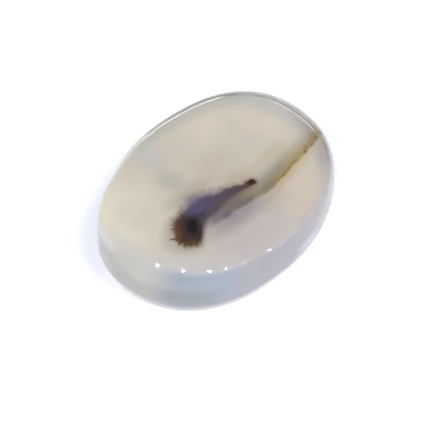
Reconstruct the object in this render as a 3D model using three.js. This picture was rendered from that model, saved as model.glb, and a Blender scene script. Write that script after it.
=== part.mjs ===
// A dendritic agate, cut as an oval with a flat polished top and a flat back.
//
// It is one solid piece of stone. From above, its widest outline (the girdle) is an oval that
// was ground by hand, so it strays a little from a true ellipse. Above the girdle a rounded
// shoulder rises to the flat top, and it is wider at the two ends of the oval than at its
// sides. Below the girdle a short bevel runs in to the flat back that the stone rests on.
//
// Millimetres, +Z up, +X along the oval. The stone rests on z = 0, its box centred on the origin.

import * as THREE from 'three';

// Driving dimensions, in millimetres and degrees
const LENGTH = 20.0;
const WIDTH = 15.0;
const HEIGHT = 3.7;
const GIRDLE_HEIGHT = 0.95;
const BACK_BEVEL = 0.32;
const SHOULDER_WIDTH = 0.96;

// The shoulder leaves the flat top at this slope, and meets the girdle upright
const SHOULDER_SLOPE = 22;
const SHOULDER_FULLNESS = 0.6;

// How far from each corner the polishing has rounded it off
const TOP_CORNER = 0.12;
const GIRDLE_CORNER = 0.12;
const BACK_CORNER = 0.1;

// Slow waves of the hand-ground outline, as shares of its radius
const OUTLINE_WAVES = [
  { lobes: 3, size: 0.011, towards: 33 },
  { lobes: 4, size: 0.006, towards: 42 },
  { lobes: 5, size: 0.0045, towards: 9 },
  { lobes: 6, size: 0.007, towards: 29 },
];

// Slow waves of the shoulder's width around the stone, in millimetres
const SHOULDER_WAVES = [
  { lobes: 1, size: 0.47, towards: 23 },
  { lobes: 2, size: 0.465, towards: 19 },
  { lobes: 3, size: 0.18, towards: -34 },
  { lobes: 4, size: 0.05, towards: 72 },
];

// Fineness of the mesh
const STEPS_AROUND = 96;
const SHOULDER_STEPS = 8;
const CORNER_STEPS = 3;

const AGATE = new THREE.MeshStandardMaterial({
  name: 'agate',
  color: 0xcbc6bd,
  roughness: 0.1,
  metalness: 0,
});

function radians(degrees) {
  return THREE.MathUtils.degToRad(degrees);
}

// The sum of a list of waves at one angle around the stone
function waveSum(waves, angle) {
  let sum = 0;
  for (const wave of waves) {
    sum += wave.size * Math.cos(wave.lobes * (angle - radians(wave.towards)));
  }
  return sum;
}

// A point of the girdle's outline, before it is fitted to the stone's length and width
function roughOutlinePoint(angle) {
  const halfLength = LENGTH / 2;
  const halfWidth = WIDTH / 2;
  const acrossLength = halfWidth * Math.cos(angle);
  const acrossWidth = halfLength * Math.sin(angle);
  const ellipseRadius = (halfLength * halfWidth) / Math.hypot(acrossLength, acrossWidth);
  const radius = ellipseRadius * (1 + waveSum(OUTLINE_WAVES, angle));
  return new THREE.Vector2(radius * Math.cos(angle), radius * Math.sin(angle));
}

// The girdle's outline, moved and scaled so that its box is LENGTH by WIDTH about the origin
function girdleOutline() {
  const points = [];
  for (let step = 0; step < STEPS_AROUND; step += 1) {
    points.push(roughOutlinePoint((2 * Math.PI * step) / STEPS_AROUND));
  }
  const box = new THREE.Box2().setFromPoints(points);
  const centre = box.getCenter(new THREE.Vector2());
  const fit = new THREE.Vector2(LENGTH, WIDTH).divide(box.getSize(new THREE.Vector2()));
  for (const point of points) {
    point.sub(centre).multiply(fit);
  }
  return points;
}

// The direction that faces straight out of the outline at each of its points
function outwardDirections(outline) {
  return outline.map((point, index) => {
    const next = outline[(index + 1) % outline.length];
    const previous = outline[(index + outline.length - 1) % outline.length];
    const along = next.clone().sub(previous).normalize();
    return new THREE.Vector2(along.y, -along.x);
  });
}

// Points that round off a corner between two lines, from one end of the rounding to the other
function roundedCorner(start, corner, end) {
  const curve = new THREE.QuadraticBezierCurve(start, corner, end);
  return curve.getPoints(CORNER_STEPS);
}

// The stone's section at one place around it, from the top's edge down to the back's edge.
// x is how far a point lies inside the girdle, and y is its height above the back.
function sectionPoints(shoulderWidth) {
  const topEdge = new THREE.Vector2(shoulderWidth, HEIGHT);
  const girdle = new THREE.Vector2(0, GIRDLE_HEIGHT);
  const backEdge = new THREE.Vector2(BACK_BEVEL, 0);

  // The shoulder is a curve whose two handles set its slope at the top and at the girdle
  const topHandle = SHOULDER_FULLNESS * shoulderWidth;
  const girdleHandle = SHOULDER_FULLNESS * (HEIGHT - GIRDLE_HEIGHT);
  const slope = radians(SHOULDER_SLOPE);
  const belowTop = new THREE.Vector2(-Math.cos(slope), -Math.sin(slope));
  const shoulder = new THREE.CubicBezierCurve(
    topEdge,
    topEdge.clone().addScaledVector(belowTop, topHandle),
    new THREE.Vector2(0, GIRDLE_HEIGHT + girdleHandle),
    girdle,
  );

  // The curve sets off at three handle lengths per whole share, which gives the corners' shares.
  // A narrow shoulder bends sooner, so its top corner takes a little less.
  const topShare = TOP_CORNER / (3 * topHandle + TOP_CORNER);
  const girdleShare = 1 - GIRDLE_CORNER / (3 * girdleHandle);
  const shoulderPoints = [];
  for (let step = 0; step <= SHOULDER_STEPS; step += 1) {
    const share = THREE.MathUtils.lerp(topShare, girdleShare, step / SHOULDER_STEPS);
    shoulderPoints.push(shoulder.getPoint(share));
  }

  const bevel = backEdge.clone().sub(girdle);
  const bevelStart = girdle.clone().addScaledVector(bevel, GIRDLE_CORNER / bevel.length());
  const bevelEnd = backEdge.clone().addScaledVector(bevel, -BACK_CORNER / bevel.length());
  const flatTopEnd = new THREE.Vector2(shoulderWidth + TOP_CORNER, HEIGHT);
  const flatBackEnd = new THREE.Vector2(BACK_BEVEL + BACK_CORNER, 0);

  return [
    ...roundedCorner(flatTopEnd, topEdge, shoulderPoints.at(0)),
    ...shoulderPoints.slice(1, -1),
    ...roundedCorner(shoulderPoints.at(-1), girdle, bevelStart),
    ...roundedCorner(bevelEnd, backEdge, flatBackEnd),
  ];
}

// Every section point around the stone, as rings of vertices from the top down
function ringVertices() {
  const outline = girdleOutline();
  const outward = outwardDirections(outline);
  const sections = outward.map((direction) => {
    const facing = Math.atan2(direction.y, direction.x);
    return sectionPoints(SHOULDER_WIDTH + waveSum(SHOULDER_WAVES, facing));
  });
  const rings = [];
  for (let level = 0; level < sections[0].length; level += 1) {
    rings.push(outline.map((point, index) => {
      const { x: inside, y: height } = sections[index][level];
      const place = point.clone().addScaledVector(outward[index], -inside);
      return [place.x, place.y, height];
    }));
  }
  return rings;
}

// One closed surface: the rings joined by triangles, with a fan over the top and the back
function stoneGeometry() {
  const rings = ringVertices();
  const vertices = rings.flat(2);
  const topCentre = rings.length * STEPS_AROUND;
  const backCentre = topCentre + 1;
  vertices.push(0, 0, HEIGHT);
  vertices.push(0, 0, 0);

  const triangles = [];
  const lastRing = rings.length - 1;
  for (let step = 0; step < STEPS_AROUND; step += 1) {
    const next = (step + 1) % STEPS_AROUND;
    triangles.push(topCentre, step, next);
    for (let level = 0; level < lastRing; level += 1) {
      const upper = level * STEPS_AROUND;
      const lower = upper + STEPS_AROUND;
      triangles.push(upper + step, lower + step, lower + next);
      triangles.push(upper + step, lower + next, upper + next);
    }
    const back = lastRing * STEPS_AROUND;
    triangles.push(backCentre, back + next, back + step);
  }

  const geometry = new THREE.BufferGeometry();
  geometry.setAttribute('position', new THREE.Float32BufferAttribute(vertices, 3));
  geometry.setIndex(triangles);
  geometry.computeVertexNormals();
  return geometry;
}

const stone = new THREE.Mesh(stoneGeometry(), AGATE);
stone.name = 'agate_stone';

const specimen = new THREE.Group();
specimen.add(stone);

export default specimen;
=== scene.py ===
"""A polished oval of dendritic agate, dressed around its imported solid, on a plain pale floor.

The stone is one fine mesh with the solid's own shape. The plume and the vein inside it are
colour: the mesh carries how far each point lies from them, and the material draws them from that.
Lengths are millimetres until a mesh, a light or the camera is made, and angles are given in
degrees.
"""

import math

import bpy
import numpy as np
from mathutils import Matrix, Vector


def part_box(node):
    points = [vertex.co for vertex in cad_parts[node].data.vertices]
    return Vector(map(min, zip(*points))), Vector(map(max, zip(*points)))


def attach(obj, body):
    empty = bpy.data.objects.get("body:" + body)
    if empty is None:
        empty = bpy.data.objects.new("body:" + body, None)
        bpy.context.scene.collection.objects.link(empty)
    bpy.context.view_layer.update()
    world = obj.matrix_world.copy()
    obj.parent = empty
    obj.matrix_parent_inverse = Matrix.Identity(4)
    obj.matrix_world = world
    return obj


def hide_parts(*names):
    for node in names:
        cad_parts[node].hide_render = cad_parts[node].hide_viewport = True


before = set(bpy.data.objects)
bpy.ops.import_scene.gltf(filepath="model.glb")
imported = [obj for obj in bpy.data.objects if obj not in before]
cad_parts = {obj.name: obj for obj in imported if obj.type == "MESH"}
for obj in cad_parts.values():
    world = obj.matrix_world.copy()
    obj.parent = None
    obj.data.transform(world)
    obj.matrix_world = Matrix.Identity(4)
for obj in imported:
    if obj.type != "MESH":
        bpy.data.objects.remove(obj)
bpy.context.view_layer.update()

# Blender's metres in one millimetre
MM = 0.001

# The stone's size comes from the frame
stone_low, stone_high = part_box("agate_stone")
LENGTH = (stone_high.x - stone_low.x) / MM
WIDTH = (stone_high.y - stone_low.y) / MM
HEIGHT = (stone_high.z - stone_low.z) / MM

# The rest of the stone's shape, as in its solid
GIRDLE_HEIGHT = 0.95
BACK_BEVEL = 0.32
SHOULDER_WIDTH = 0.96
SHOULDER_SLOPE = 22
SHOULDER_FULLNESS = 0.6
TOP_CORNER = 0.12
GIRDLE_CORNER = 0.12
BACK_CORNER = 0.1

# Slow waves around the stone: lobes, size, and the angle that a crest points towards.
# Those of the outline are shares of its radius, and those of the shoulder are its width.
OUTLINE_WAVES = [(3, 0.011, 33), (4, 0.006, 42), (5, 0.0045, 9), (6, 0.007, 29)]
SHOULDER_WAVES = [(1, 0.47, 23), (2, 0.465, 19), (3, 0.18, -34), (4, 0.05, 72)]

# Fineness of the mesh
STEPS_AROUND = 480
TABLE_RINGS = 84
SHOULDER_STEPS = 30
CORNER_STEPS = 6
BACK_RINGS = 14

# The camera. The azimuth is the way that the view's right points, right and away are level
# directions of the view, and the aim is a point on the floor.
PHOTO_PIXELS = 430
SENSOR_WIDTH = 36
PIXELS_PER_MM = 13.88
CAMERA_DISTANCE = 160
NEAREST_SEEN = 1.6
FARTHEST_SEEN = 10000
VIEW_AZIMUTH = math.radians(-55.6)
VIEW_ELEVATION = math.radians(51.1)
UP = Vector((0, 0, 1))
VIEW_RIGHT = Vector((math.cos(VIEW_AZIMUTH), math.sin(VIEW_AZIMUTH), 0))
VIEW_AWAY = Vector((-math.sin(VIEW_AZIMUTH), math.cos(VIEW_AZIMUTH), 0))
VIEW_AIM = -0.30 * VIEW_RIGHT - 0.39 * VIEW_AWAY
CAMERA_PLACE = VIEW_AIM + CAMERA_DISTANCE * (
    math.sin(VIEW_ELEVATION) * UP - math.cos(VIEW_ELEVATION) * VIEW_AWAY
)


# Camera

def make_camera():
    data = bpy.data.cameras.new("camera")
    data.sensor_width = SENSOR_WIDTH
    data.lens = PIXELS_PER_MM * CAMERA_DISTANCE * SENSOR_WIDTH / PHOTO_PIXELS
    data.clip_start = NEAREST_SEEN * MM
    data.clip_end = FARTHEST_SEEN * MM
    camera = bpy.data.objects.new("camera", data)
    camera.location = CAMERA_PLACE * MM
    look = VIEW_AIM - CAMERA_PLACE
    camera.rotation_euler = look.to_track_quat("-Z", "Y").to_euler()
    bpy.context.scene.collection.objects.link(camera)
    bpy.context.scene.camera = camera


# Shape of the stone

def wave_sum(waves, angle):
    total = np.zeros_like(angle)
    for lobes, size, towards in waves:
        total += size * np.cos(lobes * (angle - math.radians(towards)))
    return total


def girdle_outline():
    """The stone's widest outline seen from above, and the direction that faces out of it."""
    angle = 2 * np.pi * np.arange(STEPS_AROUND) / STEPS_AROUND
    half_length = LENGTH / 2
    half_width = WIDTH / 2
    ellipse = half_length * half_width / np.hypot(
        half_width * np.cos(angle), half_length * np.sin(angle)
    )
    radius = ellipse * (1 + wave_sum(OUTLINE_WAVES, angle))
    points = np.stack([radius * np.cos(angle), radius * np.sin(angle)], axis=1)
    low, high = points.min(axis=0), points.max(axis=0)
    points = (points - (low + high) / 2) * [LENGTH, WIDTH] / (high - low)
    along = np.roll(points, -1, axis=0) - np.roll(points, 1, axis=0)
    along /= np.linalg.norm(along, axis=1, keepdims=True)
    outward = np.stack([along[:, 1], -along[:, 0]], axis=1)
    return points, outward


def bezier(controls, share):
    """A point of the Bezier curve with these control points."""
    points = list(controls)
    while len(points) > 1:
        points = [(1 - share) * a + share * b for a, b in zip(points, points[1:])]
    return points[0]


def section_points(shoulder_width):
    """The section at one place around the stone, from the table's edge down to the back's edge.

    The first number is how far a point lies inside the girdle, the second is its height.
    """
    top_edge = np.array([shoulder_width, HEIGHT])
    girdle = np.array([0, GIRDLE_HEIGHT])
    back_edge = np.array([BACK_BEVEL, 0])
    top_handle = SHOULDER_FULLNESS * shoulder_width
    girdle_handle = SHOULDER_FULLNESS * (HEIGHT - GIRDLE_HEIGHT)
    slope = math.radians(SHOULDER_SLOPE)
    shoulder = [
        top_edge,
        top_edge - top_handle * np.array([math.cos(slope), math.sin(slope)]),
        girdle + [0, girdle_handle],
        girdle,
    ]
    first_share = TOP_CORNER / (3 * top_handle + TOP_CORNER)
    last_share = 1 - GIRDLE_CORNER / (3 * girdle_handle)
    shares = np.linspace(first_share, last_share, SHOULDER_STEPS + 1)
    shoulder_points = [bezier(shoulder, share) for share in shares]
    bevel = (back_edge - girdle) / np.linalg.norm(back_edge - girdle)
    corners = [
        [top_edge + [TOP_CORNER, 0], top_edge, shoulder_points[0]],
        [shoulder_points[-1], girdle, girdle + GIRDLE_CORNER * bevel],
        [back_edge - BACK_CORNER * bevel, back_edge, back_edge + [BACK_CORNER, 0]],
    ]
    top, middle, bottom = [
        [bezier(corner, share) for share in np.linspace(0, 1, CORNER_STEPS + 1)]
        for corner in corners
    ]
    return np.array(top + shoulder_points[1:-1] + middle + bottom)


def stone_rings():
    """Rings of points from the table's middle out, down the shoulder and in under the back."""
    outline, outward = girdle_outline()
    facing = np.arctan2(outward[:, 1], outward[:, 0])
    widths = SHOULDER_WIDTH + wave_sum(SHOULDER_WAVES, facing)
    sections = np.array([section_points(width) for width in widths])
    inside = sections[:, :, 0]
    height = sections[:, :, 1]
    wall = [
        np.column_stack([outline - outward * inside[:, [level]], height[:, level]])
        for level in range(sections.shape[1])
    ]
    flat = np.array([1, 1, 0])
    table = [
        wall[0] * (flat * ring / TABLE_RINGS) + [0, 0, HEIGHT] for ring in range(1, TABLE_RINGS)
    ]
    back = [wall[-1] * (flat * ring / BACK_RINGS) for ring in range(BACK_RINGS - 1, 0, -1)]
    return table + wall + back


def stone_mesh():
    rings = stone_rings()
    points = np.concatenate(rings + [[[0, 0, HEIGHT], [0, 0, 0]]])
    top_centre = len(points) - 2
    back_centre = len(points) - 1
    step = np.arange(STEPS_AROUND)
    following = (step + 1) % STEPS_AROUND
    faces = [np.column_stack([np.full(STEPS_AROUND, top_centre), step, following])]
    for ring in range(len(rings) - 1):
        upper = ring * STEPS_AROUND
        lower = upper + STEPS_AROUND
        faces.append(np.column_stack([upper + step, lower + step, lower + following]))
        faces.append(np.column_stack([upper + step, lower + following, upper + following]))
    last = (len(rings) - 1) * STEPS_AROUND
    faces.append(
        np.column_stack([np.full(STEPS_AROUND, back_centre), last + following, last + step])
    )
    mesh = bpy.data.meshes.new("polished_agate")
    mesh.from_pydata((points * MM).tolist(), [], np.concatenate(faces).tolist())
    mesh.shade_smooth()
    mark_plume_and_vein(mesh, points)
    mark_table_edge(mesh, points, rings)
    return mesh


# The markings inside the stone, seen from above

# The plume's edge, in order around it: x, y, then the length of its soft hairs and the blur
# of the edge
PLUME_EDGE = [
    (1.23, -1.88, 0.00, 0.15),
    (1.30, -2.14, 0.00, 0.15),
    (1.23, -2.38, 0.00, 0.15),
    (1.02, -2.44, 0.00, 0.15),
    (0.70, -2.34, 0.00, 0.15),
    (0.13, -2.13, 0.00, 0.16),
    (-0.59, -1.88, 0.00, 0.18),
    (-1.30, -1.72, 0.00, 0.20),
    (-2.24, -1.68, 0.00, 0.22),
    (-3.15, -1.58, 0.00, 0.24),
    (-3.64, -1.58, 0.00, 0.26),
    (-4.15, -1.71, 0.00, 0.30),
    (-4.62, -1.92, 0.00, 0.26),
    (-5.01, -2.10, 0.04, 0.24),
    (-5.39, -2.24, 0.10, 0.26),
    (-5.84, -2.28, 0.14, 0.30),
    (-6.16, -1.96, 0.14, 0.30),
    (-6.45, -1.54, 0.14, 0.30),
    (-6.44, -1.18, 0.12, 0.32),
    (-6.34, -0.80, 0.10, 0.24),
    (-6.28, -0.54, 0.08, 0.24),
    (-5.99, -0.33, 0.08, 0.24),
    (-5.78, -0.05, 0.10, 0.26),
    (-5.49, 0.16, 0.14, 0.28),
    (-5.11, 0.38, 0.20, 0.30),
    (-4.75, 0.46, 0.28, 0.36),
    (-4.38, 0.42, 0.38, 0.47),
    (-3.88, 0.50, 0.40, 0.53),
    (-3.28, 0.64, 0.42, 0.57),
    (-2.91, 0.70, 0.42, 0.59),
    (-2.48, 0.64, 0.42, 0.59),
    (-2.10, 0.47, 0.40, 0.57),
    (-1.78, 0.22, 0.38, 0.55),
    (-1.48, -0.14, 0.36, 0.51),
    (-0.88, -0.64, 0.28, 0.36),
    (-0.54, -0.88, 0.24, 0.28),
    (0.00, -1.25, 0.15, 0.17),
    (0.43, -1.65, 0.08, 0.15),
    (0.74, -1.67, 0.05, 0.14),
    (1.00, -1.78, 0.00, 0.15),
]

# The plume's sharp spikes: the root's x and y, the tip's x and y, and the width at the root
PLUME_SPIKES = [
    (-5.16, -0.27, -5.12, 0.64, 0.30),
    (-5.18, -0.11, -5.49, 0.47, 0.25),
    (-5.37, -0.24, -5.81, 0.24, 0.28),
    (-6.20, -0.65, -6.68, -0.22, 0.21),
    (-4.88, -0.03, -4.81, 0.55, 0.30),
    (-4.69, -0.07, -4.51, 0.55, 0.41),
    (-4.40, -0.03, -4.19, 0.56, 0.41),
    (-5.71, -0.39, -5.85, -0.14, 0.23),
    (-5.97, -0.57, -6.17, -0.38, 0.23),
    (-6.19, -0.81, -6.51, -0.70, 0.34),
    (-6.14, -1.03, -6.72, -1.09, 0.32),
    (-6.02, -1.29, -6.69, -1.65, 0.27),
    (-5.90, -1.46, -6.38, -1.78, 0.21),
    (-5.81, -1.61, -6.30, -2.02, 0.26),
    (-5.61, -1.81, -6.03, -2.36, 0.29),
    (-5.36, -1.93, -5.58, -2.40, 0.26),
    (-0.12, -1.40, -0.04, -1.11, 0.21),
    (0.24, -1.62, 0.30, -1.44, 0.15),
    (-0.58, -1.05, -0.50, -0.78, 0.21),
]

# The vein's line, from its faint end under the plume out to the stone's rim and straight on:
# x, y, then how wide the veil beside it is, how strong the veil is and how strong the line is
VEIN_LINE = [
    (-0.40, -3.16, 0.9, 0.0, 0.0),
    (0.30, -3.30, 1.2, 0.5, 0.0),
    (0.86, -3.42, 1.5, 0.9, 0.1),
    (1.38, -3.49, 1.7, 1.0, 0.4),
    (1.84, -3.52, 1.75, 1.0, 0.8),
    (2.39, -3.58, 1.75, 1.0, 0.9),
    (2.84, -3.62, 1.75, 1.0, 1.0),
    (3.23, -3.63, 1.7, 1.0, 1.0),
    (3.50, -3.60, 1.65, 0.95, 0.9),
    (3.76, -3.57, 1.6, 0.9, 0.9),
    (4.14, -3.59, 1.6, 0.9, 0.9),
    (4.45, -3.63, 1.6, 0.9, 0.8),
    (4.83, -3.67, 1.6, 0.75, 0.7),
    (5.52, -3.67, 1.5, 0.7, 0.7),
    (5.86, -3.69, 1.5, 0.7, 0.6),
    (6.32, -3.71, 1.5, 0.7, 0.5),
    (6.76, -3.69, 1.4, 0.7, 0.3),
    (7.16, -3.66, 1.4, 0.8, 0.2),
    (7.50, -3.60, 1.3, 0.8, 0.1),
    (7.90, -3.49, 1.3, 0.9, 0.0),
    (8.40, -3.26, 1.3, 1.0, 0.0),
    (9.40, -2.80, 1.3, 1.0, 0.0),
]

# Points that a curve has for each one that it is drawn through
CURVE_FINENESS = 12


def smooth_curve(knots, closed):
    """A Catmull-Rom curve through the knots, with their other columns blended along it."""
    knots = np.array(knots, float)
    if closed:
        padded = np.concatenate([knots[-1:], knots, knots[:2]])
    else:
        padded = np.concatenate([2 * knots[:1] - knots[1:2], knots, 2 * knots[-1:] - knots[-2:-1]])
    points = []
    for a, b, c, d in zip(padded, padded[1:], padded[2:], padded[3:]):
        for t in np.arange(CURVE_FINENESS) / CURVE_FINENESS:
            points.append(
                b + (c - a) * t / 2 + (a - 2.5 * b + 2 * c - d / 2) * t**2
                + (1.5 * (b - c) + (d - a) / 2) * t**3
            )
    points.append(padded[-2])
    return np.array(points)


def nearest_on_curve(places, curve):
    """For each place: its distance to the curve, which side it is on, and where on the curve."""
    start, end = curve[:-1, :2], curve[1:, :2]
    span = end - start
    length = np.linalg.norm(span, axis=1)
    travelled = np.concatenate([[0], np.cumsum(length)[:-1]])
    distance = np.full(len(places), np.inf)
    side = np.zeros(len(places))
    along = np.zeros(len(places))
    knot = np.zeros(len(places))
    for index in range(len(span)):
        offset = places - start[index]
        share = np.clip(offset @ span[index] / length[index] ** 2, 0, 1)
        away = offset - share[:, None] * span[index]
        here = np.linalg.norm(away, axis=1)
        nearer = here < distance
        distance = np.where(nearer, here, distance)
        turn = span[index, 0] * away[:, 1] - span[index, 1] * away[:, 0]
        side = np.where(nearer, np.sign(turn), side)
        along = np.where(nearer, travelled[index] + share * length[index], along)
        knot = np.where(nearer, index + share, knot)
    return distance, side, along, knot


def is_inside(places, curve):
    """Whether each place lies inside a closed curve."""
    inside = np.zeros(len(places), bool)
    for a, b in zip(curve[:-1], curve[1:]):
        crosses = (a[1] > places[:, 1]) != (b[1] > places[:, 1])
        if crosses.any():
            meets = a[0] + (places[:, 1] - a[1]) * (b[0] - a[0]) / (b[1] - a[1])
            inside ^= crosses & (places[:, 0] < meets)
    return inside


def store(mesh, name, values):
    attribute = mesh.attributes.new(name, "FLOAT", "POINT")
    attribute.data.foreach_set("value", np.asarray(values, np.float32))


def mark_plume_and_vein(mesh, points):
    """Stores where each point of the mesh lies from the plume's edge and from the vein."""
    places = points[:, :2]
    edge = smooth_curve(PLUME_EDGE, closed=True)
    distance, _, along, knot = nearest_on_curve(places, edge)
    distance = np.where(is_inside(places, edge), -distance, distance)
    numbers = np.arange(len(edge))
    store(mesh, "plume_distance", distance)
    store(mesh, "plume_along", along)
    store(mesh, "plume_hair", np.interp(knot, numbers, edge[:, 2]))
    store(mesh, "plume_blur", np.interp(knot, numbers, edge[:, 3]))

    vein = smooth_curve(VEIN_LINE, closed=False)
    distance, side, _, knot = nearest_on_curve(places, vein)
    numbers = np.arange(len(vein))
    store(mesh, "vein_across", distance * side)
    store(mesh, "veil_width", np.interp(knot, numbers, vein[:, 2]))
    store(mesh, "veil_strength", np.interp(knot, numbers, vein[:, 3]))
    store(mesh, "line_strength", np.interp(knot, numbers, vein[:, 4]))


def mark_table_edge(mesh, points, rings):
    """Stores each point's way down the wall from the table's edge, and where the outline faces.

    The way is negative on the table.
    """
    columns = points[:-2].reshape(len(rings), STEPS_AROUND, 3)
    step = np.linalg.norm(np.diff(columns, axis=0), axis=2)
    travelled = np.concatenate([np.zeros((1, STEPS_AROUND)), np.cumsum(step, axis=0)])
    travelled -= travelled[TABLE_RINGS - 1]
    edge = rings[TABLE_RINGS - 1][:, :2]
    closed_edge = np.concatenate([edge, edge[:1]])
    inner = columns[:TABLE_RINGS].reshape(-1, 3)[:, :2]
    inset, _, _, _ = nearest_on_curve(inner, closed_edge)
    travelled[:TABLE_RINGS] = -inset.reshape(TABLE_RINGS, STEPS_AROUND)

    # The mesh's last two points are the middles of the table and the back, far from the edge
    middles = [-WIDTH / 2, 2 * WIDTH]
    store(mesh, "edge_distance", np.concatenate([travelled.ravel(), middles]))

    _, outward = girdle_outline()
    facing = np.tile(np.column_stack([outward, np.zeros(STEPS_AROUND)]), (len(rings), 1))
    facing = np.concatenate([facing, np.zeros((2, 3))])
    attribute = mesh.attributes.new("facing", "FLOAT_VECTOR", "POINT")
    attribute.data.foreach_set("vector", facing.astype(np.float32).ravel())


# Materials

# The kinds of noise: lumps in a millimetre, detail and roughness
NOISES = {
    "ragged_edge": (5.0, 2.0, 0.6),
    "bulges": (2.6, 2.0, 0.6),
    "lean_of_hairs": (1.6, 1.0, 0.5),
    "flecks": (2.6, 3.0, 0.6),
    "wandering_vein": (3.4, 3.0, 0.6),
    "gaps_in_line": (2.4, 3.0, 0.6),
    "mottling": (0.9, 4.0, 0.55),
    "polish": (2.2, 3.0, 0.5),
}

# The stone's surface. The mottling is how far its colour swings, as a share.
MOTTLING = 0.07
LEAST_ROUGHNESS = 0.015
ROUGHNESS_SWING = 0.03
STONE_IOR = 1.54

# How deep light goes into the stone, and the shares of that for red, green and blue
LIGHT_DEPTH = 1.0
DEPTH_BY_COLOUR = (1.0, 0.9, 0.8)


def srgb(red, green, blue):
    """The linear colour of a screen colour whose parts run from 0 to 255."""
    linear = []
    for part in (red, green, blue):
        share = part / 255
        linear.append(share / 12.92 if share <= 0.04045 else ((share + 0.055) / 1.055) ** 2.4)
    return (*linear, 1)


class Graph:
    """Adds nodes to a material or a world. An input is a number, a colour or an output."""

    def __init__(self, owner):
        owner.use_nodes = True
        self.tree = owner.node_tree
        self.tree.nodes.clear()

    def feed(self, socket, value):
        if isinstance(value, bpy.types.NodeSocket):
            self.tree.links.new(value, socket)
        else:
            socket.default_value = value

    def add(self, kind, inputs=(), **settings):
        node = self.tree.nodes.new(kind)
        for name, value in settings.items():
            setattr(node, name, value)
        for name, value in dict(inputs).items():
            self.feed(node.inputs[name], value)
        return node

    def attribute(self, name):
        return self.add("ShaderNodeAttribute", attribute_name=name).outputs["Fac"]

    def math(self, operation, *values):
        return self.add("ShaderNodeMath", dict(enumerate(values)), operation=operation).outputs[0]

    def times(self, *values):
        """The product of two or more values."""
        product = values[0]
        for value in values[1:]:
            product = self.math("MULTIPLY", product, value)
        return product

    def vector(self, operation, *values):
        return self.add("ShaderNodeVectorMath", dict(enumerate(values)), operation=operation)

    def dot(self, first, second):
        return self.vector("DOT_PRODUCT", first, second).outputs["Value"]

    def height(self, place):
        return self.dot(place, (0, 0, 1))

    def smooth(self, value, start, end):
        """0 before start and 1 after end, with a smooth rise or fall between them."""
        inputs = {"Value": value, "From Min": start, "From Max": end}
        node = self.add("ShaderNodeMapRange", inputs, interpolation_type="SMOOTHSTEP")
        return node.outputs["Result"]

    def noise(self, kind):
        """Soft noise over the piece, of one kind from NOISES."""
        lumps, detail, roughness = NOISES[kind]
        inputs = {
            "Vector": self.add("ShaderNodeTexCoord").outputs["Object"],
            "Scale": lumps / MM,
            "Detail": detail,
            "Roughness": roughness,
        }
        return self.add("ShaderNodeTexNoise", inputs).outputs["Fac"]

    def swing(self, kind, reach):
        """Noise that swings evenly to both sides of 0, over this whole reach."""
        return self.math("MULTIPLY_ADD", self.noise(kind), reach, -reach / 2)

    def hairs(self, along, spacing):
        """How near a place along an edge is to the middle of a hair, and a length for the hair."""
        inputs = {"W": along, "Scale": 1 / spacing}
        node = self.add("ShaderNodeTexVoronoi", inputs, voronoi_dimensions="1D")
        length = self.add(
            "ShaderNodeTexWhiteNoise", {"W": node.outputs["W"]}, noise_dimensions="1D"
        )
        return self.smooth(node.outputs["Distance"], HAIR_SPREAD, 0.0), length.outputs["Value"]

    def mix(self, share, first, second):
        """Two colours mixed. The mix node's sockets for colours only differ by their numbers."""
        node = self.add("ShaderNodeMix", data_type="RGBA")
        self.feed(node.inputs["Factor"], share)
        self.feed(node.inputs[6], first)
        self.feed(node.inputs[7], second)
        return node.outputs[2]

    def inside(self, place, centre, half_size, turn):
        """How far a place lies along and across a turned box, in the box's half sizes."""
        offset = self.vector("SUBTRACT", place, (*centre, 0)).outputs[0]
        angle = math.radians(turn)
        half_length, half_width = half_size
        along = (math.cos(angle) / half_length, math.sin(angle) / half_length, 0)
        across = (-math.sin(angle) / half_width, math.cos(angle) / half_width, 0)
        return self.dot(offset, along), self.dot(offset, across)

    def cloud(self, place, centre, half_size, turn, core):
        """1 in the middle of a soft oval, and 0 outside it. The core is its even part."""
        along, across = self.inside(place, centre, half_size, turn)
        square = self.math("MULTIPLY_ADD", along, along, self.math("MULTIPLY", across, across))
        return self.smooth(self.math("SQRT", square), 1.0, core)


def tint(colour, strength, centre, half_size, turn, core):
    """A soft oval cloud of colour, right through the stone. The core is its even share."""
    return {
        "colour": srgb(*colour),
        "strength": strength,
        "centre": centre,
        "half_size": half_size,
        "turn": turn,
        "core": core,
    }


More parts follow.
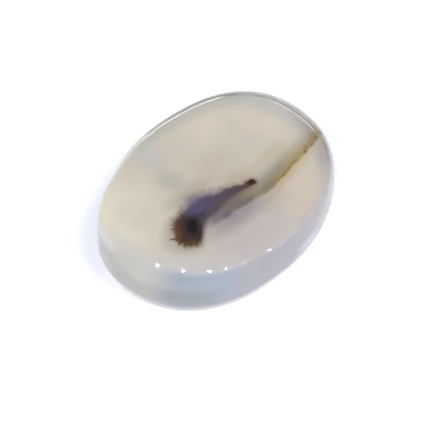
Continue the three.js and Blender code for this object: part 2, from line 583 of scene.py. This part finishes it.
TABLE_COLOUR = srgb(207, 200, 189)
TABLE_TINTS = [
    # Warm cream at the left
    tint((222, 218, 204), 1.0, (-8.4, 4.0), (6.8, 5.6), 10, 0.25),
    # Pinkish cream at the right, and lighter towards the right end
    tint((216, 207, 196), 0.9, (3.6, 3.6), (3.4, 2.2), 0, 0.1),
    tint((215, 206, 194), 1.0, (5.9, 0.4), (1.7, 3.2), 8, 0.2),
    tint((200, 192, 179), 0.8, (0.8, 1.0), (2.7, 1.7), -20, 0.2),
    # Tan above the plume and its neck, and above the vein
    tint((188, 177, 164), 0.9, (-2.3, 0.9), (3.2, 1.2), -14, 0.2),
    tint((188, 177, 160), 0.8, (0.4, -1.4), (2.6, 1.7), -20, 0.2),
    tint((199, 188, 170), 0.8, (3.6, -1.9), (2.6, 1.2), -5, 0.2),
    # Grey-green beside the plume's head
    tint((184, 181, 171), 0.9, (-6.3, -1.2), (1.6, 2.1), 0, 0.3),
    # Pink below the plume, cream below the vein
    tint((200, 191, 191), 1.0, (-3.2, -4.9), (5.4, 2.4), -8, 0.35),
    tint((216, 210, 204), 0.5, (-6.2, -4.8), (1.8, 1.6), 20, 0.1),
    tint((210, 200, 187), 1.0, (2.6, -5.6), (3.4, 1.9), 12, 0.3),
    tint((211, 209, 205), 0.9, (-8.2, -3.2), (2.4, 3.4), 35, 0.2),
    # A cool cloud that narrows from the far rim towards the plume
    tint((197, 198, 194), 0.9, (-1.2, 5.4), (1.5, 2.6), -14, 0.15),
    tint((188, 185, 177), 0.85, (-2.2, 2.6), (1.4, 2.2), -4, 0.1),
    tint((190, 191, 180), 0.8, (0.6, 6.9), (3.2, 1.5), 0, 0.2),
    # Cooler and slightly darker left of the middle, and below the vein's line
    tint((196, 192, 186), 0.35, (-6.1, 2.7), (1.9, 2.6), 10, 0.2),
    tint((186, 176, 166), 0.35, (0.4, -4.5), (2.4, 0.9), -10, 0.2),
]

# Shade that lies under and beside the plume, deep in the stone
SHADE_TINTS = [
    tint((165, 156, 161), 0.95, (-1.9, -3.0), (4.6, 1.45), -10, 0.15),
    # Warm around the head
    tint((168, 154, 128), 0.4, (-5.3, 0.1), (1.5, 1.1), 0, 0.3),
    # Dark below the plume's body, with a violet end and a tan streak beside it
    tint((126, 118, 124), 0.95, (-2.35, -1.94), (2.3, 0.78), -4, 0.35),
    tint((108, 107, 125), 0.85, (-2.45, -2.32), (0.75, 0.50), -8, 0.1),
    tint((128, 116, 106), 0.95, (-0.9, -2.10), (1.6, 0.6), -12, 0.4),
    tint((148, 135, 110), 1.0, (0.35, -2.60), (1.4, 0.7), -16, 0.3),
    tint((112, 101, 92), 0.8, (-0.8, -2.74), (2.1, 0.44), -16, 0.2),
    tint((150, 144, 154), 0.5, (-2.3, -2.76), (1.0, 0.34), -12, 0.2),
    tint((130, 120, 100), 0.8, (0.9, -3.24), (1.0, 0.42), -14, 0.2),
    tint((180, 168, 146), 0.5, (0.9, -3.9), (2.2, 0.6), 0, 0.2),
]

# The table's colour changes towards its edge: the way that the edge faces in the middle of the
# band, how far the band reaches to both sides of that, how far from the edge it starts and is
# full (negative on the table), its colour and its strength
EDGE_BANDS = [
    (8, 60, -1.4, -0.3, (197, 196, 194), 1.0),
    (66, 42, -1.2, -0.2, (190, 191, 182), 0.8),
    (-78, 34, -0.6, 0.0, (190, 187, 189), 0.7),
    (-44, 30, -1.2, -0.1, (177, 173, 173), 0.9),
    (-135, 45, -1.2, -0.1, (199, 196, 201), 0.7),
    (180, 50, -1.3, -0.1, (208, 205, 202), 0.8),
    # Darker just inside the rim beside the vein's end
    (-28, 20, -0.4, 0.3, (176, 166, 152), 0.8),
]

# Bands and zones are even over these shares of their reach around the stone and up and down
EVEN_SPREAD = 0.3
EVEN_REACH = 0.2

# The wall's colours: the way that the wall faces in the middle of a zone, how far the zone
# reaches to both sides of that, its middle height and how far it reaches up and down,
# its colour and its strength. Beside the stone's own milky tones, some zones are painted light:
# the darker zones on the far side and at the right end (facing 10, 66, -66 and -44) and the low
# grey zone at -148 are painted shade, and the light zone at the left end (112) and the low
# lavender zone at -82 are painted glow.
WALL_COLOUR = srgb(157, 164, 176)
EVERY_HEIGHT = 50
WALL_TONES_AND_PAINTED_LIGHT = [
    (-120, 45, 2.9, 1.1, (155, 166, 178), 0.8),
    (168, 40, 2.0, EVERY_HEIGHT, (189, 190, 185), 1.0),
    (155, 24, 2.4, 1.0, (182, 184, 178), 0.9),
    (178, 26, 1.5, 1.4, (168, 168, 164), 0.8),
    (-148, 24, 1.8, 1.0, (146, 153, 157), 0.9),
    (-92, 36, 2.0, EVERY_HEIGHT, (164, 163, 170), 1.0),
    (-82, 18, 1.4, 1.0, (190, 193, 202), 1.0),
    (-66, 24, 2.4, EVERY_HEIGHT, (169, 165, 164), 1.0),
    (-44, 22, 2.0, EVERY_HEIGHT, (150, 146, 142), 0.9),
    (10, 60, 2.0, EVERY_HEIGHT, (178, 177, 174), 1.0),
    (66, 30, 2.0, EVERY_HEIGHT, (150, 146, 132), 1.0),
    (112, 34, 2.0, EVERY_HEIGHT, (226, 227, 226), 1.0),
    (142, 22, 3.7, 0.9, (208, 206, 206), 0.9),
    (-152, 44, 3.9, 0.55, (190, 188, 196), 0.9),
    # Darker down at the girdle: painted shade where the wall comes down towards the floor
    (-138, 40, 0.7, 0.6, (140, 142, 146), 0.7),
    (128, 36, 0.6, 0.8, (136, 137, 138), 0.8),
]

PLUME_COLOUR = srgb(91, 80, 99)
PLUME_TINTS = [
    tint((130, 121, 143), 0.9, (-2.4, 0.50), (2.4, 0.80), -12, 0.2),
    tint((126, 116, 136), 0.8, (-1.3, -0.45), (1.3, 0.50), -38, 0.1),
    tint((92, 86, 118), 1.0, (-3.0, -0.35), (1.8, 0.85), -10, 0.1),
    tint((62, 54, 66), 0.6, (-3.6, -0.90), (0.9, 0.50), 10, 0.1),
    tint((97, 84, 87), 0.9, (-1.9, -1.60), (2.4, 0.6), -4, 0.2),
    tint((92, 76, 84), 0.9, (-0.4, -1.40), (1.2, 0.6), -25, 0.2),
    tint((98, 74, 64), 0.9, (0.45, -1.90), (0.8, 0.5), -25, 0.2),
    tint((64, 34, 18), 1.0, (1.05, -2.15), (0.55, 0.46), -20, 0.4),
    # Browns around the head, then its dark middle
    tint((64, 46, 44), 1.0, (-5.70, -0.95), (2.10, 1.9), 35, 0.55),
    tint((88, 68, 42), 1.0, (-6.25, -1.80), (1.7, 0.75), -52, 0.4),
    tint((84, 62, 60), 0.9, (-4.70, 0.25), (1.1, 0.60), 35, 0.3),
    tint((100, 70, 42), 1.0, (-5.95, -0.25), (1.5, 0.75), 35, 0.45),
    tint((72, 42, 42), 0.9, (-5.05, -0.45), (1.3, 0.50), 35, 0.2),
    tint((14, 10, 12), 1.0, (-4.66, -0.92), (1.52, 0.80), 32, 0.1),
]

# Each fade below is two values: where something starts to show, and where it shows fully

# Red-brown flecks in the plume's head: where they lie, the fade over their noise, and their colour
HEAD_FLECKS = {"centre": (-6.1, -0.9), "half_size": (1.0, 1.4), "turn": 0, "core": 0.4}
FLECK_FADE = (0.42, 0.68)
FLECK_STRENGTH = 0.5
FLECK_COLOUR = srgb(100, 70, 44)

# Fine noise moves the plume's edge this far. Broader noise moves it by this many of its hairs'
# lengths, outward where the noise is high.
EDGE_SWING = 0.16
BULGE_SWING = -1.6

# Its hairs come in sets: their spacing, and their share of the hairs' length
HAIR_SETS = [(0.40, 1.0), (0.22, 0.6)]

# A hair spreads over this share of the spacing. The shortest has this share of the full length.
# All lean with noise this far, and fade over this distance from their tip.
HAIR_SPREAD = 0.55
SHORTEST_HAIR = 0.4
HAIR_LEAN = 0.5
HAIR_FADE = (0.34, -0.28)
HAIR_STRENGTH = 0.52

# Its spikes fade in shares of their half width and length, and behind their root
SPIKE_FADE = (1.25, 0.4)
SPIKE_ROOT_FADE = (-0.4, 0.0)

# A warm halo around the plume
PLUME_HALO_FADE = (0.6, 0.0)
PLUME_HALO_STRENGTH = 0.30
PLUME_HALO_COLOUR = srgb(174, 160, 130)

# The vein's line wanders by noise
VEIN_SWING = 0.14

# The veil beside the line fades over shares of its width, and at the line over a distance.
# Its near colour fades in over other shares of its width.
VEIL_FADE = (1.0, 0.35)
VEIL_LINE_SIDE_FADE = (-0.26, 0.08)
VEIL_NEAR_FADE = (0.48, 0.08)
VEIL_FAR_COLOUR = srgb(160, 152, 142)
VEIL_NEAR_COLOUR = srgb(165, 148, 108)

# The cream halo on the line's other side
HALO_FADE = (-0.95, -0.12)
HALO_LINE_SIDE_FADE = (0.3, 0.0)
HALO_STRENGTH = 0.85
HALO_COLOUR = srgb(194, 177, 134)

# The line itself. The fade over its noise leaves gaps in it.
LINE_FADE = (0.11, 0.02)
LINE_GAPS_FADE = (0.35, 0.6)
LINE_STRENGTH = 0.8
LINE_COLOUR = srgb(140, 120, 80)

# Small stains along the vein
VEIN_STAINS = [
    # The broader olive part towards the right end
    tint((192, 176, 146), 0.5, (5.2, -3.00), (1.9, 0.65), 0, 0.2),
    tint((170, 153, 114), 0.6, (5.4, -3.45), (2.4, 0.42), -2, 0.3),
    # Greyer where the line starts
    tint((142, 133, 117), 0.9, (1.35, -3.30), (1.3, 0.50), -8, 0.3),
    tint((154, 137, 106), 0.75, (7.1, -3.45), (1.4, 0.40), 6, 0.3),
    # Specks along the line
    tint((138, 126, 84), 0.7, (2.84, -3.62), (0.34, 0.14), -5, 0.3),
    tint((150, 133, 86), 0.6, (3.60, -3.58), (0.42, 0.18), 8, 0.3),
    tint((152, 132, 86), 0.6, (4.14, -3.57), (0.28, 0.15), -10, 0.3),
    tint((190, 174, 124), 0.7, (4.98, -3.72), (0.40, 0.16), 0, 0.2),
    tint((130, 104, 66), 0.9, (5.50, -3.68), (0.34, 0.17), 5, 0.2),
    tint((156, 128, 86), 0.8, (5.90, -3.50), (0.42, 0.24), 0, 0.2),
    tint((136, 114, 78), 0.8, (6.34, -3.72), (0.30, 0.14), 0, 0.2),
    tint((140, 120, 96), 0.7, (7.10, -3.60), (0.40, 0.24), 0, 0.2),
    tint((110, 101, 82), 0.9, (7.95, -3.46), (0.60, 0.34), 20, 0.2),
]

# What the flat back shows: the table's colours with this share of a plain grey, and a blurred
# ghost of the plume and the vein
BACK_COLOUR = srgb(176, 172, 167)
BACK_SHARE = 0.5
GHOST_COLOUR = srgb(128, 118, 112)
GHOST_STRENGTH = 0.55
GHOST_PLUME_FADE = (1.1, -0.9)
GHOST_VEIN_FADE = (0.9, 0.0)
GHOST_VEIN_SHARE = 0.5

# The wall's colour fades in down from the table's edge. The back's colour and the markings
# fade in by height.
WALL_FADE = (-0.15, 0.3)
BACK_FADE = (0.9, 0.2)
MARKINGS_FADE = (0.6, 3.2)


def paint(graph, place, colour, tints, share=1.0):
    """Lays each tint over a colour, one after the other."""
    for one in tints:
        cloud = graph.cloud(place, one["centre"], one["half_size"], one["turn"], one["core"])
        strength = graph.times(one["strength"], share, cloud)
        colour = graph.mix(strength, colour, one["colour"])
    return colour


def facing_share(graph, facing, towards, spread):
    """1 where the stone's outline faces towards an angle, fading to 0 at the spread beside it."""
    angle = math.radians(towards)
    nearness = graph.dot(facing, (math.cos(angle), math.sin(angle), 0))
    return graph.smooth(
        nearness, math.cos(math.radians(spread)), math.cos(math.radians(spread * EVEN_SPREAD))
    )


def table_colour(graph, inner, facing):
    edge = graph.attribute("edge_distance")
    colour = inner
    for towards, spread, start, full, band_colour, strength in EDGE_BANDS:
        share = graph.times(
            graph.smooth(edge, start, full), facing_share(graph, facing, towards, spread)
        )
        colour = graph.mix(graph.times(share, strength), colour, srgb(*band_colour))
    return colour


def wall_colour(graph, place, facing):
    height = graph.height(place)
    colour = WALL_COLOUR
    # Zones of the stone's own tones, and zones of painted shade and painted glow, laid one after
    # the other
    for towards, spread, middle, reach, zone_colour, strength in WALL_TONES_AND_PAINTED_LIGHT:
        share = facing_share(graph, facing, towards, spread)
        if reach < EVERY_HEIGHT:
            off = graph.math("ABSOLUTE", graph.math("SUBTRACT", height, middle))
            share = graph.times(share, graph.smooth(off, reach, EVEN_REACH * reach))
        colour = graph.mix(graph.times(share, strength), colour, srgb(*zone_colour))
    return colour


def plume_hairs(graph, distance):
    """How much of the soft hairs shows at this distance from the plume's edge."""
    hair_length = graph.attribute("plume_hair")
    lean = graph.noise("lean_of_hairs")
    along = graph.math("MULTIPLY_ADD", lean, HAIR_LEAN, graph.attribute("plume_along"))
    reach = 0.0
    for spacing, share in HAIR_SETS:
        nearness, length = graph.hairs(along, spacing)
        length = graph.math("MULTIPLY_ADD", length, 1 - SHORTEST_HAIR, SHORTEST_HAIR)
        reach = graph.math("MAXIMUM", reach, graph.times(nearness, length, share))
    beyond = graph.math("SUBTRACT", distance, graph.times(reach, hair_length))
    return graph.times(graph.smooth(beyond, *HAIR_FADE), HAIR_STRENGTH)


def plume_cover(graph, place):
    """How much of the plume shows at a point: its body, soft hairs beside it and its spikes."""
    distance = graph.attribute("plume_distance")
    distance = graph.math("ADD", distance, graph.swing("ragged_edge", EDGE_SWING))
    bulges = graph.swing("bulges", BULGE_SWING)
    distance = graph.math("MULTIPLY_ADD", bulges, graph.attribute("plume_hair"), distance)
    blur = graph.attribute("plume_blur")
    body = graph.smooth(graph.math("DIVIDE", distance, blur), 1.0, -1.0)

    cover = graph.math("MAXIMUM", body, plume_hairs(graph, distance))
    for root_x, root_y, tip_x, tip_y, width in PLUME_SPIKES:
        length = math.hypot(tip_x - root_x, tip_y - root_y)
        turn = math.degrees(math.atan2(tip_y - root_y, tip_x - root_x))
        along, across = graph.inside(place, (root_x, root_y), (length, width / 2), turn)
        taper = graph.math("MULTIPLY_ADD", along, along, graph.math("ABSOLUTE", across))
        spike = graph.times(
            graph.smooth(taper, *SPIKE_FADE), graph.smooth(along, *SPIKE_ROOT_FADE)
        )
        cover = graph.math("MAXIMUM", cover, spike)
    return cover


def plume_colour(graph, place):
    colour = paint(graph, place, PLUME_COLOUR, PLUME_TINTS)
    flecks = graph.smooth(graph.noise("flecks"), *FLECK_FADE)
    in_head = graph.cloud(place, **HEAD_FLECKS)
    return graph.mix(graph.times(flecks, in_head, FLECK_STRENGTH), colour, FLECK_COLOUR)


def vein_colours(graph, place, colour, depth):
    """Lays the vein's veil, halo, line and stains over a colour."""
    across = graph.attribute("vein_across")
    across = graph.math("ADD", across, graph.swing("wandering_vein", VEIN_SWING))
    strength = graph.times(graph.attribute("line_strength"), depth)

    halo = graph.times(
        graph.smooth(across, *HALO_FADE), graph.smooth(across, *HALO_LINE_SIDE_FADE),
        strength, HALO_STRENGTH,
    )
    colour = graph.mix(halo, colour, HALO_COLOUR)

    # The veil lies on one side only: even near the line, and fading away from it
    share = graph.math("DIVIDE", across, graph.attribute("veil_width"))
    veil = graph.times(
        graph.smooth(share, *VEIL_FADE), graph.smooth(across, *VEIL_LINE_SIDE_FADE),
        graph.attribute("veil_strength"), depth,
    )
    near_line = graph.smooth(share, *VEIL_NEAR_FADE)
    colour = graph.mix(veil, colour, graph.mix(near_line, VEIL_FAR_COLOUR, VEIL_NEAR_COLOUR))

    line = graph.times(
        graph.smooth(graph.math("ABSOLUTE", across), *LINE_FADE),
        graph.smooth(graph.noise("gaps_in_line"), *LINE_GAPS_FADE),
        strength, LINE_STRENGTH,
    )
    colour = graph.mix(line, colour, LINE_COLOUR)
    return paint(graph, place, colour, VEIN_STAINS, depth)


def ghost_share(graph):
    """How much of the blurred ghost shows at a point of the back."""
    near_plume = graph.smooth(graph.attribute("plume_distance"), *GHOST_PLUME_FADE)
    off_vein = graph.math("ABSOLUTE", graph.attribute("vein_across"))
    near_vein = graph.times(
        graph.smooth(off_vein, *GHOST_VEIN_FADE), graph.attribute("veil_strength"), GHOST_VEIN_SHARE
    )
    return graph.times(graph.math("MAXIMUM", near_plume, near_vein), GHOST_STRENGTH)


def stone_colour(graph, place, facing):
    """The colour of the stone's surface, with what shows through from inside it, and painted shade
    and glow on the wall.
    """
    height = graph.height(place)
    inner = paint(graph, place, TABLE_COLOUR, TABLE_TINTS)
    down = graph.smooth(graph.attribute("edge_distance"), *WALL_FADE)
    colour = graph.mix(
        down, table_colour(graph, inner, facing), wall_colour(graph, place, facing)
    )
    under = graph.smooth(height, *BACK_FADE)
    colour = graph.mix(under, colour, graph.mix(BACK_SHARE, inner, BACK_COLOUR))

    # How much the markings show: fully at the top, fading down the wall, a ghost at the back
    depth = graph.smooth(height, *MARKINGS_FADE)
    halo = graph.smooth(graph.attribute("plume_distance"), *PLUME_HALO_FADE)
    halo = graph.times(halo, PLUME_HALO_STRENGTH, depth)
    colour = graph.mix(halo, colour, PLUME_HALO_COLOUR)
    colour = paint(graph, place, colour, SHADE_TINTS, depth)
    colour = vein_colours(graph, place, colour, depth)
    cover = graph.times(plume_cover(graph, place), depth)
    colour = graph.mix(cover, colour, plume_colour(graph, place))
    return graph.mix(graph.times(ghost_share(graph), under), colour, GHOST_COLOUR)


def agate_material():
    material = bpy.data.materials.new("agate")
    graph = Graph(material)
    place = graph.vector("SCALE", graph.add("ShaderNodeTexCoord").outputs["Object"])
    graph.feed(place.inputs["Scale"], 1 / MM)
    facing = graph.add("ShaderNodeAttribute", attribute_name="facing").outputs["Vector"]
    colour = stone_colour(graph, place.outputs[0], facing)

    # Faint mottling, and polish that is a little uneven
    mottled = graph.math("MULTIPLY_ADD", graph.noise("mottling"), MOTTLING, 1 - MOTTLING / 2)
    colour = graph.vector("SCALE", colour)
    graph.feed(colour.inputs["Scale"], mottled)
    roughness = graph.math(
        "MULTIPLY_ADD", graph.noise("polish"), ROUGHNESS_SWING, LEAST_ROUGHNESS
    )

    shader = graph.add(
        "ShaderNodeBsdfPrincipled",
        {
            "Base Color": colour.outputs[0],
            "Roughness": roughness,
            "IOR": STONE_IOR,
            "Subsurface Weight": 1.0,
            "Subsurface Radius": DEPTH_BY_COLOUR,
            "Subsurface Scale": LIGHT_DEPTH * MM,
        },
    )
    output = graph.add("ShaderNodeOutputMaterial")
    graph.feed(output.inputs["Surface"], shader.outputs["BSDF"])
    return material


# Pieces

def make_stone():
    mesh = stone_mesh()
    mesh.materials.append(agate_material())
    stone = bpy.data.objects.new("polished_agate", mesh)
    bpy.context.scene.collection.objects.link(stone)
    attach(stone, "root")
    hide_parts("agate_stone")


# Studio

# The floor lies this far below the stone's back, so that the two don't share a plane. It glows
# a little, to be as even and pale as the photo's background.
FLOOR_GAP = 0.02
FLOOR_SIZE = 1200
FLOOR_ROUGHNESS = 0.9
FLOOR_COLOUR = (0.88, 0.88, 0.88, 1)
FLOOR_GLOW = 0.26
FLOOR_GLOW_COLOUR = (0.88, 0.94, 1.24, 1)

# The sky is brighter on the camera's side than beyond the stone. The near sky's fade is over
# how far a direction points away from the camera.
SKY_COLOUR = (0.985, 0.985, 1.03, 1)
NEAR_SKY_STRENGTH = 0.78
FAR_SKY_STRENGTH = 0.25
NEAR_SKY_FADE = (0.5, -0.5)

# Two broad soft lamps: the place is right, away and up from the stone, in millimetres
KEY_LAMPS = [
    {"name": "right_lamp", "place": (420, -120, 720), "size": 420, "power": 2.7},
    {"name": "front_lamp", "place": (-160, -560, 680), "size": 420, "power": 2.6},
]
KEY_COLOUR = (1.0, 0.985, 0.93)

# Panels that only show in the polish: the direction is turned from the view's right towards
# away, then raised from level
EDGE_PANEL_DISTANCE = 900
EDGE_PANELS = [
    {"name": "left_edge_panel", "turn": 100, "rise": 24.5, "width": 190, "height": 500, "glow": 8},
    {"name": "right_edge_panel", "turn": 75.5, "rise": 28, "width": 200, "height": 240, "glow": 6},
    {"name": "front_edge_panel", "turn": 46, "rise": 71, "width": 170, "height": 130, "glow": 5},
]

# The white dots along the table's near edge: the way that the edge faces there, the dot's width
# in millimetres, and its brightness
GLINTS = [
    {"facing": -168.2, "width": 0.19, "glow": 34},
    {"facing": -150.1, "width": 0.22, "glow": 36},
    {"facing": -132.6, "width": 0.22, "glow": 34},
    {"facing": -122.8, "width": 0.22, "glow": 34},
    {"facing": -113.6, "width": 0.15, "glow": 14},
    {"facing": -105.4, "width": 0.16, "glow": 22},
]

# Each dot is made by a short curved row of lamps this far away, one for each of these slopes of
# the rounded edge. The row is widest at the middle slope, and would narrow to nothing at the
# reach from it.
GLINT_LAMP_DISTANCE = 1000
GLINT_SLOPES = [5, 11, 17, 23, 29]
GLINT_MIDDLE_SLOPE = 17
GLINT_REACH = 15


def floor_material():
    material = bpy.data.materials.new("floor")
    graph = Graph(material)
    shader = graph.add(
        "ShaderNodeBsdfPrincipled",
        {
            "Base Color": FLOOR_COLOUR,
            "Roughness": FLOOR_ROUGHNESS,
            "Specular IOR Level": 0.0,
            "Emission Color": FLOOR_GLOW_COLOUR,
            "Emission Strength": FLOOR_GLOW,
        },
    )
    # Seen from below, the floor is clear, so that the stone's back can be looked at
    underneath = graph.add("ShaderNodeNewGeometry").outputs["Backfacing"]
    clear = graph.add("ShaderNodeBsdfTransparent")
    one_sided = graph.add(
        "ShaderNodeMixShader",
        {0: underneath, 1: shader.outputs["BSDF"], 2: clear.outputs["BSDF"]},
    )
    output = graph.add("ShaderNodeOutputMaterial")
    graph.feed(output.inputs["Surface"], one_sided.outputs["Shader"])
    return material


def make_floor():
    half = FLOOR_SIZE / 2 * MM
    level = -FLOOR_GAP * MM
    corners = [
        (-half, -half, level), (half, -half, level), (half, half, level), (-half, half, level),
    ]
    mesh = bpy.data.meshes.new("floor")
    mesh.from_pydata(corners, [], [(0, 1, 2, 3)])
    mesh.materials.append(floor_material())
    floor = bpy.data.objects.new("floor", mesh)
    bpy.context.scene.collection.objects.link(floor)


def make_world():
    world = bpy.data.worlds.new("studio")
    graph = Graph(world)
    direction = graph.add("ShaderNodeTexCoord").outputs["Generated"]
    share = graph.smooth(graph.dot(direction, tuple(VIEW_AWAY)), *NEAR_SKY_FADE)
    strength = graph.math(
        "MULTIPLY_ADD", share, NEAR_SKY_STRENGTH - FAR_SKY_STRENGTH, FAR_SKY_STRENGTH
    )
    background = graph.add("ShaderNodeBackground", {"Color": SKY_COLOUR, "Strength": strength})
    output = graph.add("ShaderNodeOutputWorld")
    graph.feed(output.inputs["Surface"], background.outputs[0])
    bpy.context.scene.world = world
    bpy.context.scene.view_settings.view_transform = "Standard"


def view_direction(right, away, up):
    """The direction with these parts along the view's level directions and up."""
    return right * VIEW_RIGHT + away * VIEW_AWAY + up * UP


def add_lamp(name, place, long_side, width, length, power, shape="RECTANGLE"):
    """A flat lamp that faces the stone."""
    data = bpy.data.lights.new(name, "AREA")
    data.shape = shape
    data.size = width * MM
    data.size_y = length * MM
    data.energy = power
    lamp = bpy.data.objects.new(name, data)
    back = place.normalized()
    side = long_side.cross(back).normalized()
    upright = back.cross(side)
    lamp.matrix_world = Matrix((
        (side.x, upright.x, back.x, place.x * MM),
        (side.y, upright.y, back.y, place.y * MM),
        (side.z, upright.z, back.z, place.z * MM),
        (0, 0, 0, 1),
    ))
    bpy.context.scene.collection.objects.link(lamp)
    return lamp


def add_mirrored_lamp(name, place, long_side, width, length, glow):
    """A lamp that only shows in the polish. Its glow is the brightness of its face."""
    power = glow * math.pi * width * length * MM * MM
    lamp = add_lamp(name, place, long_side, width, length, power)
    lamp.visible_camera = False
    lamp.visible_diffuse = False
    lamp.visible_transmission = False
    lamp.visible_volume_scatter = False
    lamp.visible_shadow = False


def add_key_lamps():
    for one in KEY_LAMPS:
        place = view_direction(*one["place"])
        lamp = add_lamp(
            one["name"], place, UP, one["size"], one["size"], one["power"], "ELLIPSE"
        )
        lamp.data.color = KEY_COLOUR
        lamp.visible_glossy = False


def add_edge_panels():
    for one in EDGE_PANELS:
        turn = math.radians(one["turn"])
        rise = math.radians(one["rise"])
        direction = view_direction(
            math.cos(turn) * math.cos(rise), math.sin(turn) * math.cos(rise), math.sin(rise)
        )
        add_mirrored_lamp(
            one["name"], direction * EDGE_PANEL_DISTANCE, UP,
            one["width"], one["height"], one["glow"],
        )


def surface_normals(rings):
    """The direction that the stone's surface faces, by ring and by step around."""
    points = np.array(rings)
    around = np.roll(points, -1, axis=1) - np.roll(points, 1, axis=1)
    down = np.gradient(points, axis=0)
    normals = np.cross(down, around)
    return normals / np.linalg.norm(normals, axis=2, keepdims=True)


class EdgeMirror:
    """Finds where the camera's view goes from the rounded edge of the table."""

    def __init__(self):
        rings = stone_rings()
        first = TABLE_RINGS - 1
        self.points = np.array(rings[first:])
        self.normals = surface_normals(rings)[first:]
        _, outward = girdle_outline()
        self.facings = np.degrees(np.arctan2(outward[:, 1], outward[:, 0]))

    def step_facing(self, facing):
        return int(np.argmin(np.abs((self.facings - facing + 180) % 360 - 180)))

    def seen(self, step, slope):
        """The place in the studio that is mirrored at this step, where the edge has this slope."""
        step %= STEPS_AROUND
        normals = self.normals[:, step]
        slopes = np.degrees(np.arccos(np.clip(normals[:, 2], -1, 1)))
        normal = Vector([np.interp(slope, slopes, normals[:, axis]) for axis in range(3)])
        point = Vector([np.interp(slope, slopes, self.points[:, step, axis]) for axis in range(3)])
        normal.normalize()
        to_camera = (CAMERA_PLACE - point).normalized()
        mirrored = 2 * normal.dot(to_camera) * normal - to_camera
        return point + mirrored * GLINT_LAMP_DISTANCE

    def spacing(self, step):
        """How far apart the neighbours of this step are along the edge."""
        edge = self.points[0]
        return np.linalg.norm(edge[(step + 1) % STEPS_AROUND] - edge[step - 1])


def add_glint_lamps():
    """Rows of small lamps overhead, each placed where the table's near edge mirrors it."""
    mirror = EdgeMirror()
    half_step = (GLINT_SLOPES[1] - GLINT_SLOPES[0]) / 2
    for number, one in enumerate(GLINTS):
        step = mirror.step_facing(one["facing"])
        share = one["width"] / mirror.spacing(step)
        for slope in GLINT_SLOPES:
            roundness = math.sqrt(1 - ((slope - GLINT_MIDDLE_SLOPE) / GLINT_REACH) ** 2)
            long_side = mirror.seen(step, slope + half_step) - mirror.seen(step, slope - half_step)
            across = mirror.seen(step + 1, slope) - mirror.seen(step - 1, slope)
            across -= across.project(long_side)
            add_mirrored_lamp(
                f"glint_lamp_{number + 1}_{slope}", mirror.seen(step, slope), long_side,
                across.length * share * roundness, long_side.length, one["glow"],
            )


make_camera()
make_stone()
make_floor()
make_world()
add_key_lamps()
add_edge_panels()
add_glint_lamps()
